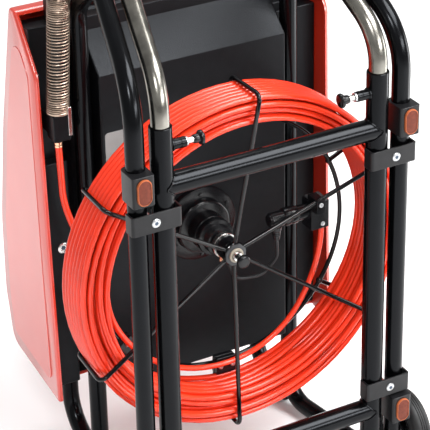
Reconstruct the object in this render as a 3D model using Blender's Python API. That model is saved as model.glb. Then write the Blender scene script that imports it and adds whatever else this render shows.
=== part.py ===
"""Push-cable inspection reel on a wheeled tube frame, with a shell case behind the reel.

Metres in Blender, millimetres in this file. +Z up, -Y is the reel side, +X is to the right
seen from the reel side. The front frame tubes stand on the plane y = 0 of this file and the
whole object is moved by -Y_MID so that its box is centred on the origin.
"""

import math

import bmesh
import bpy
from mathutils import Matrix, Vector

# ---- driving sizes, mm ----
TUBE_R = 12.5  # side loops, rear skids and handle
RECEIVER_BORE_R = TUBE_R + 0.5  # the handle legs slide in it
RECEIVER_R = RECEIVER_BORE_R + 2.0  # handle receivers and crossbars
RECEIVER_X = 157.7  # half spacing of the receivers
LOOP_FRONT_X = 193.8  # half spacing of the loops at the front
LOOP_REAR_X = 158.4  # and at the rear uprights
LOOP_REAR_Y = 229.8
LOOP_BEND_Z = 697.0
LOOP_APEX = (163.8, 147.0, 789.0)
LOOP_FLOOR_Z = 16.0
RECEIVER_TOP_Z = 649.7
RECEIVER_BOTTOM_Z = 40.0
UPPER_BAR_Z = 567.0
LOWER_BAR_Z = 128.0
CLAMP_Z = (528.2, 166.7)
PAD_Z = (578.0, 127.0)
PLUNGER_Z = 620.0
HANDLE_BEND_Z = 699.0
HANDLE_TOP = (128.5, 170.0, 818.0)
HANDLE_LEG_END_Z = 290.0
REEL_Z = 372.0  # reel axis above the floor
CAGE_R = 251.5  # front corners of the wire cage
CAGE_BACK_R = CAGE_R - 3.1
CAGE_FRONT_Y = 62.7
CAGE_BACK_Y = 140.4
CAGE_HUB_Y = 107.0
HOOP_R = CAGE_R - 61.5  # where the wires end behind the windings
WIRE_R = 3.2
WIRE_ANGLE = 85.7
CABLE_R = 4.0
COIL_R = (CAGE_R - 55.5, CAGE_R - 8.0)
COIL_BACK_Y = CAGE_BACK_Y - WIRE_R - 0.4
COIL_THIN = 16.0
COIL_THIN_ANGLE = math.radians(25)
SHAFT_R = 7.0
CASE_FRONT_Y = 209.4
CASE_BOX_X = 141.9
CASE_WING_Y = 257.0
CASE_X = 224.0
CASE_WALL = 6.0
CASE_BOTTOM_Z = 138.0
SHELL_BACK_Y = 391.0
SPRING_FOOT = (-199.0, 217.0, 588.0)
SPRING_HEAD = (-187.2, 217.0, 772.0)
SPRING_R = 15.5
WHEEL_R = 56.0
WHEEL_Y = 27.0
WHEEL_X = (219.0, 250.0)
AXLE_R = 6.0
GAP = 0.3
SADDLE_Z = (WHEEL_R - 34.0, WHEEL_R + 10.0)
TAIL_R = (141.0, COIL_R[0] - CABLE_R - 0.6)  # from the connector to the windings
Y_MID = (WHEEL_Y - WHEEL_R + SHELL_BACK_Y - 0.08) / 2  # a bevel takes 0.08 off the back

OBJECTS = {}


def clear_scene():
    for obj in list(bpy.data.objects):
        bpy.data.objects.remove(obj, do_unlink=True)


def paint(name, colour, metallic=0.0, roughness=0.5):
    found = bpy.data.materials.get(name)
    if found:
        return found
    material = bpy.data.materials.new(name)
    material.use_nodes = True
    shader = material.node_tree.nodes["Principled BSDF"]
    shader.inputs["Base Color"].default_value = (*colour, 1.0)
    shader.inputs["Metallic"].default_value = metallic
    shader.inputs["Roughness"].default_value = roughness
    material.diffuse_color = (*colour, 1.0)
    return material


BLACK_COAT = ("powder_coat_black", (0.02, 0.02, 0.022), 0.0, 0.35)
BLACK_PLASTIC = ("plastic_black", (0.025, 0.025, 0.028), 0.0, 0.5)
RED_SHELL = ("shell_red", (0.75, 0.05, 0.02), 0.0, 0.3)
CABLE_ORANGE = ("cable_orange", (0.8, 0.07, 0.02), 0.0, 0.35)
CHROME = ("chrome", (0.75, 0.75, 0.73), 1.0, 0.12)
STEEL = ("steel", (0.6, 0.6, 0.6), 1.0, 0.3)
ZINC = ("zinc", (0.75, 0.76, 0.78), 1.0, 0.35)
BRASS = ("brass", (0.75, 0.5, 0.3), 1.0, 0.3)
RUBBER = ("rubber", (0.03, 0.03, 0.03), 0.0, 0.8)
PAD_BROWN = ("pad_brown", (0.3, 0.1, 0.05), 0.0, 0.7)
PALE = ("label_pale", (0.7, 0.68, 0.66), 0.0, 0.5)
GREY = ("grey_plastic", (0.2, 0.21, 0.22), 0.0, 0.5)


def finish_mesh(name, bm, look, pivot=(0, 0, 0), smooth=True, helper=False):
    """Mesh in mm about the file's frame -> object in metres with its origin at pivot."""
    bmesh.ops.recalc_face_normals(bm, faces=bm.faces)
    if bm.calc_volume(signed=True) < 0:
        bmesh.ops.reverse_faces(bm, faces=bm.faces)
    shift = Vector(pivot)
    for vert in bm.verts:
        vert.co = (vert.co - shift) * 0.001
    mesh = bpy.data.meshes.new(name)
    bm.to_mesh(mesh)
    bm.free()
    obj = bpy.data.objects.new(name, mesh)
    bpy.context.scene.collection.objects.link(obj)
    obj.location = Vector((pivot[0], pivot[1] - Y_MID, pivot[2])) * 0.001
    mesh.materials.append(paint(*look))
    if smooth:
        for face in mesh.polygons:
            face.use_smooth = len(face.vertices) <= 4
    if helper:
        obj.hide_render = True
        obj.display_type = "WIRE"
    OBJECTS[name] = obj
    return obj


def rounded(points, radii, steps=5, closed=False):
    """Corner points with fillet radii -> a list of points along the rounded path."""
    count = len(points)
    out = []
    for i, point in enumerate(points):
        here = Vector(point)
        if (not closed and i in (0, count - 1)) or radii[i] == 0:
            out.append(here)
            continue
        before = (Vector(points[i - 1]) - here).normalized()
        after = (Vector(points[(i + 1) % count]) - here).normalized()
        half = before.angle(after) / 2
        reach = radii[i] / math.tan(half)
        centre = here + (before + after).normalized() * (radii[i] / math.sin(half))
        a = here + before * reach - centre
        b = here + after * reach - centre
        turn = a.angle(b)
        for k in range(steps + 1):
            t = k / steps
            arm = (a * math.sin((1 - t) * turn) + b * math.sin(t * turn)) / math.sin(turn)
            out.append(centre + arm)
    return out


def sweep_mesh(path, radius, sides=10, closed=False):
    bm = bmesh.new()
    count = len(path)
    tangents = []
    for i in range(count):
        if closed:
            d = path[(i + 1) % count] - path[i - 1]
        else:
            d = path[min(i + 1, count - 1)] - path[max(i - 1, 0)]
        tangents.append(d.normalized())
    side = tangents[0].orthogonal().normalized()
    first = side.copy()
    rings = []
    for i in range(count):
        if i:
            side = tangents[i - 1].rotation_difference(tangents[i]) @ side
        side = (side - tangents[i] * side.dot(tangents[i])).normalized()
        up = tangents[i].cross(side)
        ring = []
        # the ring stays round in a bend: the corner ring is widened along the mitre
        for k in range(sides):
            a = 2 * math.pi * k / sides
            ring.append(bm.verts.new(path[i] + (side * math.cos(a) + up * math.sin(a)) * radius))
        rings.append(ring)
    shift = 0
    if closed:
        side = tangents[-1].rotation_difference(tangents[0]) @ side
        up = tangents[0].cross(first)
        angle = math.atan2(side.dot(up), side.dot(first))
        shift = round(angle / (2 * math.pi / sides))
    for i in range(count if closed else count - 1):
        a, b = rings[i], rings[(i + 1) % count]
        offset = shift if closed and i == count - 1 else 0
        for k in range(sides):
            bm.faces.new((a[k], a[(k + 1) % sides], b[(k + 1 + offset) % sides], b[(k + offset) % sides]))
    if not closed:
        bm.faces.new(rings[0][::-1])
        bm.faces.new(rings[-1])
    return bm


def sweep(name, path, radius, look, sides=10, closed=False, pivot=(0, 0, 0), helper=False):
    return finish_mesh(name, sweep_mesh([Vector(p) for p in path], radius, sides, closed), look, pivot, helper=helper)


AXES = {
    "X": Matrix(((0, 0, 1), (1, 0, 0), (0, 1, 0))),
    "Y": Matrix(((1, 0, 0), (0, 0, 1), (0, 1, 0))),
    "Z": Matrix(((1, 0, 0), (0, 1, 0), (0, 0, 1))),
}


def turned_mesh(profile, axis, centre, steps=18, aim=None):
    """Closed profile of (radius, distance along the axis) turned about the axis through centre."""
    bm = bmesh.new()
    turn = AXES[axis] if aim is None else Vector((0, 0, 1)).rotation_difference(Vector(aim)).to_matrix()
    rings = []
    for radius, along in profile:
        if radius == 0:
            rings.append([bm.verts.new(Vector(centre) + turn @ Vector((0, 0, along)))])
            continue
        ring = []
        for k in range(steps):
            a = 2 * math.pi * k / steps
            ring.append(bm.verts.new(Vector(centre) + turn @ Vector((radius * math.cos(a), radius * math.sin(a), along))))
        rings.append(ring)
    for i, ring in enumerate(rings):
        after = rings[(i + 1) % len(rings)]
        if len(ring) == 1 and len(after) == 1:
            continue
        for k in range(steps):
            n = (k + 1) % steps
            if len(ring) == 1:
                bm.faces.new((ring[0], after[n], after[k]))
            elif len(after) == 1:
                bm.faces.new((ring[k], ring[n], after[0]))
            else:
                bm.faces.new((ring[k], ring[n], after[n], after[k]))
    return bm


def turned(name, profile, axis, centre, look, steps=18, pivot=(0, 0, 0), helper=False, aim=None):
    return finish_mesh(name, turned_mesh(profile, axis, centre, steps, aim), look, pivot, helper=helper)


def rod(name, radius, start, end, axis, centre, look, steps=18, pivot=(0, 0, 0), helper=False):
    return turned(name, [(0, start), (radius, start), (radius, end), (0, end)], axis, centre, look, steps, pivot, helper)


def block(name, low, high, look, bevel=0.0, pivot=(0, 0, 0), helper=False):
    bm = bmesh.new()
    bmesh.ops.create_cube(bm, size=1.0)
    size = Vector(high) - Vector(low)
    middle = (Vector(high) + Vector(low)) / 2
    for vert in bm.verts:
        vert.co = Vector((vert.co.x * size.x, vert.co.y * size.y, vert.co.z * size.z)) + middle
    if bevel:
        bmesh.ops.bevel(bm, geom=list(bm.edges), offset=bevel, segments=1, profile=0.5, affect="EDGES")
    return finish_mesh(name, bm, look, pivot, smooth=False, helper=helper)


def prism(name, outline, axis, start, end, look, bevel=0.0, helper=False):
    """Outline in the two other axes (in x, y, z order) drawn out along the axis."""
    bm = bmesh.new()
    index = "XYZ".index(axis)
    rows = []
    for along in (start, end):
        row = []
        for a, b in outline:
            at = [a, b]
            at.insert(index, along)
            row.append(bm.verts.new(at))
        rows.append(row)
    bm.faces.new(rows[0])
    bm.faces.new(rows[1][::-1])
    count = len(outline)
    for k in range(count):
        n = (k + 1) % count
        bm.faces.new((rows[0][k], rows[0][n], rows[1][n], rows[1][k]))
    if bevel:
        bmesh.ops.bevel(bm, geom=list(bm.edges), offset=bevel, segments=1, profile=0.5, affect="EDGES")
    return finish_mesh(name, bm, look, smooth=False, helper=helper)


def boolean(target, other, operation="DIFFERENCE"):
    modifier = target.modifiers.new(operation.lower(), "BOOLEAN")
    modifier.operation = operation
    modifier.solver = "EXACT"
    modifier.object = other


def wire_y(radius):
    """The cage's front wires slope from the hub out to the rim."""
    return CAGE_FRONT_Y + (CAGE_HUB_Y - CAGE_FRONT_Y) * (CAGE_R - radius) / (CAGE_R - 13)


def reel_point(angle, radius, y):
    a = math.radians(angle)
    return (radius * math.cos(a), y, REEL_Z + radius * math.sin(a))


SIDES = (("left", -1), ("right", 1))
REEL_PIVOT = (0, CAGE_HUB_Y, REEL_Z)


# ---- frame ----
def loop_path(sign, steps=4):
    corners = [
        (sign * LOOP_FRONT_X, 0, LOOP_FLOOR_Z),
        (sign * LOOP_FRONT_X, 0, LOOP_BEND_Z),
        (sign * LOOP_APEX[0], LOOP_APEX[1], LOOP_APEX[2]),
        (sign * LOOP_REAR_X, LOOP_REAR_Y, LOOP_APEX[2] - 62),
        (sign * LOOP_REAR_X, LOOP_REAR_Y, LOOP_FLOOR_Z),
    ]
    return rounded(corners, [40, 100, 50, 60, 40], steps, closed=True)


def build_frame():
    for side, sign in SIDES:
        loop = sweep(f"side_loop_{side}", loop_path(sign), TUBE_R, BLACK_COAT, closed=True)
        axle_x = sign * (LOOP_FRONT_X - 3.8)
        saddle = block(f"saddle_{side}_add", (axle_x - 12, WHEEL_Y - 12, SADDLE_Z[0]), (axle_x + 12, WHEEL_Y + 12, SADDLE_Z[1]), BLACK_COAT, helper=True)
        boolean(loop, saddle, "UNION")
        bore = rod(f"axle_bore_{side}_cut", AXLE_R + GAP, axle_x - 30, axle_x + 30, "X", (0, WHEEL_Y, WHEEL_R), BLACK_COAT, helper=True)
        boolean(loop, bore)

        receiver = turned(
            f"receiver_{side}",
            [(RECEIVER_BORE_R, RECEIVER_BOTTOM_Z), (RECEIVER_R, RECEIVER_BOTTOM_Z), (RECEIVER_R, RECEIVER_TOP_Z - 1), (RECEIVER_R - 1, RECEIVER_TOP_Z), (RECEIVER_BORE_R, RECEIVER_TOP_Z)],
            "Z", (sign * RECEIVER_X, 0, 0), BLACK_COAT,
        )
        inner = sign * (RECEIVER_X - 20)
        hole = rod(f"plunger_hole_{side}_cut", 4.4, inner - 12, inner + 12, "X", (0, 0, PLUNGER_Z), BLACK_COAT, 16, helper=True)
        boolean(receiver, hole)

        skid = sweep(
            f"rear_skid_{side}",
            rounded([(sign * LOOP_REAR_X, 330, CASE_BOTTOM_Z + 14), (sign * LOOP_REAR_X, 330, LOOP_FLOOR_Z), (sign * LOOP_REAR_X, 219, LOOP_FLOOR_Z)], [0, 60, 0], 6),
            TUBE_R, BLACK_COAT,
        )
        fat_loop = sweep(f"loop_{side}_cut", loop_path(sign), TUBE_R + GAP, BLACK_COAT, closed=True, helper=True)
        boolean(skid, fat_loop)
        foot = block(f"rear_foot_{side}", (sign * LOOP_REAR_X - 14, 244, 0), (sign * LOOP_REAR_X + 14, 284, 12), RUBBER, bevel=1.5)
        boolean(foot, rod(f"foot_{side}_cut", TUBE_R + GAP, 200, 320, "Y", (sign * LOOP_REAR_X, 0, LOOP_FLOOR_Z), RUBBER, helper=True))

        mount = block(f"case_mount_{side}", (sign * LOOP_REAR_X - 9, LOOP_REAR_Y + 4, 230), (sign * LOOP_REAR_X + 9, CASE_WING_Y - GAP, 590), BLACK_COAT, bevel=1.0)
        boolean(mount, rod(f"mount_{side}_cut", TUBE_R + GAP, 180, 640, "Z", (sign * LOOP_REAR_X, LOOP_REAR_Y, 0), BLACK_COAT, helper=True))

    for level, z in (("upper", UPPER_BAR_Z), ("lower", LOWER_BAR_Z)):
        bar = rod(f"crossbar_{level}", RECEIVER_R, 6.7 - RECEIVER_X, RECEIVER_X - 6.7, "X", (0, 0, z), BLACK_COAT)
        for side, sign in SIDES:
            boolean(bar, rod(f"cope_{level}_{side}_cut", RECEIVER_R + GAP, z - 40, z + 40, "Z", (sign * RECEIVER_X, 0, 0), BLACK_COAT, 24, helper=True))


def build_clamps_and_pads():
    for side, sign in SIDES:
        low_x, high_x = RECEIVER_X - RECEIVER_R - GAP, LOOP_FRONT_X + TUBE_R + GAP
        for level, z in zip(("upper", "lower"), CLAMP_Z):
            outline = [(low_x - 3, -18.3), (high_x + 3, -18.3), (high_x + 3, 1.0), (low_x - 3, 1.0)]
            strap = prism(f"strap_clamp_{level}_{side}", [(sign * x, y) for x, y in outline], "Z", z - 13.5, z + 13.5, BLACK_COAT, bevel=0.6)
            hollow = block(f"strap_{level}_{side}_cut", (min(sign * low_x, sign * high_x), -15.3, z - 30), (max(sign * low_x, sign * high_x), 30, z + 30), BLACK_COAT, helper=True)
            boolean(strap, hollow)
            screw_x = sign * (RECEIVER_X + RECEIVER_R + LOOP_FRONT_X - TUBE_R) / 2
            boolean(strap, rod(f"strap_hole_{level}_{side}_cut", 3.3, -30, 30, "Y", (screw_x, 0, z), BLACK_COAT, 12, helper=True))
            turned(
                f"clamp_screw_{level}_{side}",
                [(0, -19.6), (2.2, -19.6), (2.2, -21.6), (4.5, -21.9), (6.3, -20.4), (6.3, -18.6), (3.0, -18.6), (3.0, 15.3), (9.0, 15.3), (9.0, 17.6), (5.5, 17.8), (5.5, 22.0), (0, 22.0)],
                "Y", (screw_x, 0, z), ZINC, 10,
            )
        for level, z in zip(("upper", "lower"), PAD_Z):
            low, high = sorted((sign * (LOOP_FRONT_X - 14.8), sign * (LOOP_FRONT_X + 15.8)))
            pad = block(f"pad_block_{level}_{side}", (low, -24.5, z - 21), (high, 14.5, z + 21), BLACK_PLASTIC, bevel=1.2)
            boolean(pad, rod(f"pad_{level}_{side}_cut", TUBE_R + GAP, z - 40, z + 40, "Z", (sign * LOOP_FRONT_X, 0, 0), BLACK_PLASTIC, helper=True))
            outline = []
            for k in range(12):
                a = 2 * math.pi * (k + 0.5) / 12
                outline.append((sign * (LOOP_FRONT_X + 0.7) + 10 * math.cos(a), z + 8 * (1 if math.sin(a) > 0 else -1) + 10 * math.sin(a)))
            prism(f"pad_face_{level}_{side}", outline, "Y", -27.8, -24.5 - GAP, PAD_BROWN, bevel=0.4)


def build_plungers():
    for side, sign in SIDES:
        wall = RECEIVER_X - RECEIVER_R

        def along(x):
            return sign * x

        barrel = turned(
            f"plunger_barrel_{side}",
            [(4.4, along(wall + 4)), (7.0, along(wall + 4)), (7.0, along(wall - 18.7)), (6.2, along(wall - 21.2)), (4.4, along(wall - 21.2))],
            "X", (0, 0, PLUNGER_Z), BLACK_COAT, 16,
        )
        boolean(barrel, rod(f"barrel_{side}_cut", RECEIVER_R + GAP, PLUNGER_Z - 20, PLUNGER_Z + 20, "Z", (sign * RECEIVER_X, 0, 0), BLACK_COAT, 24, helper=True))
        tip = RECEIVER_X - RECEIVER_BORE_R - GAP
        turned(
            f"plunger_{side}",
            [(0, along(tip)), (3.2, along(tip)), (4.0, along(tip - 1)), (4.0, along(wall - 30.7)), (6.0, along(wall - 32.7)), (6.0, along(wall - 36.7)), (9.6, along(wall - 38.7)), (9.8, along(wall - 41.7)), (8.0, along(wall - 43.7)), (0, along(wall - 44.3))],
            "X", (0, 0, PLUNGER_Z), BLACK_PLASTIC, 14, pivot=(sign * (wall - 30.7), 0, PLUNGER_Z),
        )


def build_handle():
    right = [(RECEIVER_X, 0, HANDLE_LEG_END_Z), (RECEIVER_X, 0, HANDLE_BEND_Z), HANDLE_TOP]
    left = [(-x, y, z) for x, y, z in reversed(right)]
    path = rounded(right + left, [0, 80, 45, 45, 80, 0], 4)
    handle = sweep("handle", path, TUBE_R, CHROME, sides=12, pivot=(0, 0, RECEIVER_TOP_Z))
    for side, sign in SIDES:
        for number, drop in enumerate((0, 90, 180)):
            inner = sign * (RECEIVER_X - TUBE_R)
            boolean(handle, rod(f"detent_{side}_{number}_cut", 4.6, inner - 6, inner + 6, "X", (0, 0, PLUNGER_Z - drop), CHROME, 10, helper=True))
    turned(
        "handle_grip",
        [(TUBE_R + GAP, -62), (15.5, -62), (16.5, -60), (16.5, 60), (15.5, 62), (TUBE_R + GAP, 62)],
        "X", (0, HANDLE_TOP[1], HANDLE_TOP[2]), RUBBER, 16, pivot=(0, 0, RECEIVER_TOP_Z),
    )


def build_wheels():
    inner, outer = WHEEL_X
    end = [(AXLE_R, inner - 5.3), (9.0, inner - 5.3), (9.0, inner - GAP), (AXLE_R, inner - GAP), (AXLE_R, outer + GAP), (9.5, outer + GAP), (9.5, outer + 2.5), (7.5, outer + 4), (0, outer + 4)]
    profile = [(r, -x) for r, x in reversed(end)] + end
    turned("axle", profile, "X", (0, WHEEL_Y, WHEEL_R), STEEL, 14)
    for side, sign in SIDES:
        at = (0, WHEEL_Y, WHEEL_R)
        pivot = (sign * (inner + outer) / 2, WHEEL_Y, WHEEL_R)
        turned(
            f"wheel_hub_{side}",
            [(AXLE_R + GAP, sign * inner), (14, sign * inner), (15, sign * (inner + 8)), (28, sign * (inner + 8)), (31, sign * (inner + 2)), (38, sign * (inner + 2)), (38, sign * (outer - 2)), (31, sign * (outer - 2)), (28, sign * (outer - 8)), (15, sign * (outer - 8)), (14, sign * outer), (AXLE_R + GAP, sign * outer)],
            "X", at, GREY, 18, pivot=pivot,
        )
        turned(
            f"wheel_tyre_{side}",
            [(38 + GAP, sign * (inner + 1)), (48, sign * (inner + 1)), (53.5, sign * (inner + 4)), (WHEEL_R, sign * (inner + 9)), (WHEEL_R, sign * (outer - 9)), (53.5, sign * (outer - 4)), (48, sign * (outer - 1)), (38 + GAP, sign * (outer - 1))],
            "X", at, RUBBER, 28, pivot=pivot,
        )


# ---- case ----
def build_case():
    bottom = CASE_BOTTOM_Z
    side_view = [(216, bottom), (374, bottom + 22), (SHELL_BACK_Y, 240), (SHELL_BACK_Y - 4, 362), (SHELL_BACK_Y - 36, 520), (SHELL_BACK_Y - 88, 713), (SHELL_BACK_Y - 106, 711), (229, 640), (222, bottom + 200)]
    shell = prism("red_shell", side_view, "X", -CASE_X, CASE_X, RED_SHELL, bevel=2.0)
    wall = CASE_WALL
    hollow = [(100, bottom - 30), (262, bottom - 30), (262, bottom + 12.8), (366, bottom + 27.2), (382, 240), (380.5, 362), (349, 518), (298, 706), (100, 706)]
    boolean(shell, prism("shell_cut", hollow, "X", -(CASE_X - wall), CASE_X - wall, RED_SHELL, helper=True))

    low = bottom + 26.0
    x = CASE_X - wall - GAP
    wing = prism("inner_case", [(CASE_WING_Y, bottom + 14), (320, bottom + 22.3), (352, low + 1.5), (366, 362), (336, 512), (291, 695), (CASE_WING_Y, 695)], "X", -x, x, BLACK_PLASTIC)
    box_view = [(CASE_FRONT_Y, bottom + 4), (CASE_FRONT_Y, 626), (CASE_FRONT_Y + 4, 630), (274, 699), (286, 699), (300, 640), (300, bottom + 40), (CASE_WING_Y - 1, bottom + 12), (CASE_WING_Y - 20, bottom + 4)]
    boolean(wing, prism("case_box_add", box_view, "X", -CASE_BOX_X, CASE_BOX_X, BLACK_PLASTIC, bevel=1.5, helper=True), "UNION")
    boolean(wing, prism("ledge_add", [(-x, 240), (-180, 240), (-172, CASE_WING_Y + 5), (-x, CASE_WING_Y + 5)], "Z", bottom + 12, 502, BLACK_PLASTIC, helper=True), "UNION")
    boolean(wing, block("right_wing_cut", (CASE_BOX_X + 0.5, 240, 640), (x + 20, 284, 760), BLACK_PLASTIC, helper=True))

    block("case_label", (-137, CASE_FRONT_Y - 1.1, 472), (-75, CASE_FRONT_Y - GAP, 544), PALE)


def build_camera_probe():
    foot, head = Vector(SPRING_FOOT), Vector(SPRING_HEAD)
    aim = (head - foot).normalized()
    length = (head - foot).length
    turns = 6
    pitch = (length - 2 * GAP) / turns
    profile = [(0, GAP)]
    for k in range(turns):
        profile += [(SPRING_R - 1.2, GAP + pitch * k + 0.1 * pitch), (SPRING_R, GAP + pitch * (k + 0.5))]
    profile += [(SPRING_R - 1.2, length - GAP), (0, length - GAP)]
    turned("camera_spring", profile, "Z", foot, STEEL, 12, aim=aim)
    turned(
        "camera_head",
        [(0, length), (13, length), (13, length + 6), (16, length + 8), (16, length + 52), (14, length + 56), (10, length + 56), (10, length + 54), (0, length + 54)],
        "Z", foot, STEEL, 14, aim=aim,
    )
    x, y, z = SPRING_FOOT
    block("clip_block", (x - 12, y - 12, z - 38), (x + 12, y + 12, z), BLACK_PLASTIC, bevel=1.5)
    boolean(OBJECTS["clip_block"], block("clip_arm_add", (x - 10, y, z - 34), (x + 10, CASE_WING_Y - GAP, z - 8), BLACK_PLASTIC, helper=True), "UNION")
    turned("cable_ferrule", [(0, z - 50), (5.0, z - 50), (5.6, z - 48), (5.6, z - 42), (4.6, z - 41), (4.6, z - 38 - GAP), (0, z - 38 - GAP)], "Z", (x - 2, y, 0), BRASS, 16)
    top = Vector((x - 2, y, z - 50 - GAP))
    path = rounded([top, top + Vector((2, 0, -84)), top + Vector((18, -18, -150)), top + Vector((34, -55, -215))], [0, 120, 100, 0], 4)
    sweep("cable_lead", path, CABLE_R + 0.6, CABLE_ORANGE, sides=10)

    hx, hy, hz = SPRING_HEAD
    holder = block("camera_holder", (hx - 24, hy - 22, hz - 16), (hx + 13, 274, hz - 2), BLACK_PLASTIC, bevel=1.5)
    boolean(holder, block("holder_leg_add", (hx + 1, 260, 695 + GAP), (hx + 37, 274, hz - 5), BLACK_PLASTIC, helper=True), "UNION")
    boolean(holder, turned("holder_cut", [(0, length - 40), (SPRING_R + GAP, length - 40), (SPRING_R + GAP, length + 30), (0, length + 30)], "Z", foot, BLACK_PLASTIC, 16, helper=True, aim=aim))


# ---- reel ----
def build_reel():
    hub = turned("reel_cage", [(SHAFT_R + GAP, CAGE_HUB_Y - 4), (17, CAGE_HUB_Y - 4), (17, CAGE_HUB_Y + 3), (SHAFT_R + GAP, CAGE_HUB_Y + 3)], "Y", (0, 0, REEL_Z), BLACK_COAT, 24, pivot=REEL_PIVOT)
    hoop = [reel_point(360 * k / 36, HOOP_R, CAGE_BACK_Y) for k in range(36)]
    boolean(hub, sweep("hoop_add", hoop, WIRE_R, BLACK_COAT, sides=6, closed=True, helper=True), "UNION")
    for k in range(6):
        angle = WIRE_ANGLE + 60 * k
        corners = [
            reel_point(angle, 13, CAGE_HUB_Y),
            reel_point(angle, CAGE_R, CAGE_FRONT_Y),
            reel_point(angle, CAGE_BACK_R, CAGE_BACK_Y),
            reel_point(angle, HOOP_R, CAGE_BACK_Y),
        ]
        wire = sweep(f"wire_{k}_add", rounded(corners, [0, 10, 10, 0], 2), WIRE_R, BLACK_COAT, sides=6, helper=True)
        boolean(hub, wire, "UNION")

    inner, outer = COIL_R
    back = COIL_BACK_Y
    clear = WIRE_R + GAP + 0.2
    section = [(inner + 3, back), (inner, back - 4), (inner, wire_y(inner) + clear + 3.5), (inner + 4, wire_y(inner + 4) + clear), (outer - 6, wire_y(outer - 6) + clear), (outer, wire_y(outer) + clear + 6), (outer, back - 4), (outer - 4, back)]
    ring = turned_mesh(section, "Y", (0, 0, REEL_Z), 40)
    for vert in ring.verts:
        arm = Vector((vert.co.x, 0, vert.co.z - REEL_Z))
        if arm.length < inner + 8:
            # the windings hang low and to one side, so the ring is thinner opposite
            thin = max(0.0, arm.normalized().dot(Vector((math.cos(COIL_THIN_ANGLE), 0, math.sin(COIL_THIN_ANGLE)))))
            vert.co += arm.normalized() * COIL_THIN * thin
            vert.co.y -= 0.18 * COIL_THIN * thin if vert.co.y < wire_y(outer) + 25 else 0
    finish_mesh("cable_coil", ring, CABLE_ORANGE, REEL_PIVOT)
    route = [(1.55, 0, 111), (-20, 2, 111), (-38, 9, 112), (-58, 24, 115), (-78, 35, 117), (-98, 40, 118), (-120, 43, 118), (-144, 45.5, 118), (-165, 49, 114), (-178, 50.4, 108)]
    tail = [(angle, TAIL_R[0] + (TAIL_R[1] - TAIL_R[0]) * rise / 50.4, y) for angle, rise, y in route]
    sweep("cable_tail", [reel_point(*p) for p in tail], CABLE_R, CABLE_ORANGE, sides=6, pivot=REEL_PIVOT)

    for name, angle, inside in (("a", 216, HOOP_R - 12), ("b", 268, HOOP_R - 16)):
        bm = bmesh.new()
        bmesh.ops.create_cube(bm, size=1.0)
        turn = Matrix.Rotation(-math.radians(angle), 4, "Y")
        for vert in bm.verts:
            local = Vector((vert.co.x * (HOOP_R + 2 - inside) + (HOOP_R + 2 + inside) / 2, 129.65 + vert.co.y * 14.7, vert.co.z * 30))
            vert.co = turn @ local + Vector((0, 0, REEL_Z))
        clamp = finish_mesh(f"cable_clamp_{name}", bm, BLACK_PLASTIC, REEL_PIVOT, smooth=False)
        bolt = Vector(reel_point(angle + 3, HOOP_R - 3.5, 0))
        boolean(clamp, rod(f"clamp_boss_{name}_add", 3.6, 119.5, 130, "Y", (bolt.x, 0, bolt.z), ZINC, 14, helper=True), "UNION")
        tail_cut = sweep(f"tail_{name}_cut", [reel_point(*p) for p in tail], CABLE_R + 0.6, CABLE_ORANGE, sides=8, helper=True)
        boolean(clamp, tail_cut)

    # signal path from the cable end to the hub
    connector = block("connector_body", (118, 98, REEL_Z + 5), (146, 124, REEL_Z + 47), GREY, bevel=2.0, pivot=REEL_PIVOT)
    barrel = turned("connector_barrel_add", [(0, 58), (9, 58), (11, 61), (11, 80), (13, 82), (13, 100), (11, 102), (11, 125), (0, 125)], "X", (0, 113, REEL_Z + 30), BLACK_PLASTIC, 18, helper=True)
    boolean(connector, barrel, "UNION")
    boolean(connector, block("connector_lug_add", (119, 76, REEL_Z + 40), (131, 106, REEL_Z + 70), GREY, helper=True), "UNION")
    wire_line = [reel_point(WIRE_ANGLE - 60, 13, CAGE_HUB_Y), reel_point(WIRE_ANGLE - 60, CAGE_R, CAGE_FRONT_Y)]
    boolean(connector, sweep("connector_wire_cut", wire_line, WIRE_R + GAP, BLACK_COAT, sides=10, helper=True))
    turned("connector_gland", [(0, 0), (7, 0), (7, 6), (6, 7), (6, 16), (4, 20), (0, 20)], "Z", (70.5, 113, REEL_Z + 19 - GAP), BLACK_PLASTIC, 16, pivot=REEL_PIVOT, aim=(0, 0, -1))
    lead = [Vector((70.5, 113, REEL_Z - 1 - 2 * GAP)), Vector((72, 113, REEL_Z - 30)), Vector((48, 116, REEL_Z - 54)), Vector((10, 122, REEL_Z - 52)), Vector((0, 130, REEL_Z - 18.8))]
    sweep("signal_lead", rounded(lead, [0, 20, 24, 16, 0], 4), 2.4, GREY, sides=6, pivot=REEL_PIVOT)

    turned(
        "hub_sleeve",
        [(SHAFT_R + GAP, CAGE_HUB_Y + 3 + GAP), (16, CAGE_HUB_Y + 3 + GAP), (16, 142), (21, 144), (21, 156), (27, 158), (27, 189), (SHAFT_R + GAP, 189)],
        "Y", (0, 0, REEL_Z), BLACK_PLASTIC, 18, pivot=REEL_PIVOT,
    )
    turned(
        "hub_flange",
        [(SHAFT_R + GAP, 189 + GAP), (38, 189 + GAP), (40, 192), (40, 200), (54, 201), (56, 203), (56, CASE_FRONT_Y - GAP), (SHAFT_R + GAP, CASE_FRONT_Y - GAP)],
        "Y", (0, 0, REEL_Z), BLACK_PLASTIC, 20,
    )
    turned("reel_shaft", [(0, CASE_FRONT_Y - GAP), (SHAFT_R, CASE_FRONT_Y - GAP), (SHAFT_R, 95), (6.2, 94), (3.9, 94), (3.9, 130), (0, 130)], "Y", (0, 0, REEL_Z), STEEL, 16)
    turned("release_knob", [(0, 76), (8, 76), (9.5, 78), (9.5, 82), (7, 84), (3.5, 85), (3.5, 122), (0, 122)], "Y", (0, 0, REEL_Z), BLACK_PLASTIC, 16, pivot=(0, 80, REEL_Z))


clear_scene()
build_frame()
build_clamps_and_pads()
build_plungers()
build_handle()
build_wheels()
build_case()
build_camera_probe()
build_reel()
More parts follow.
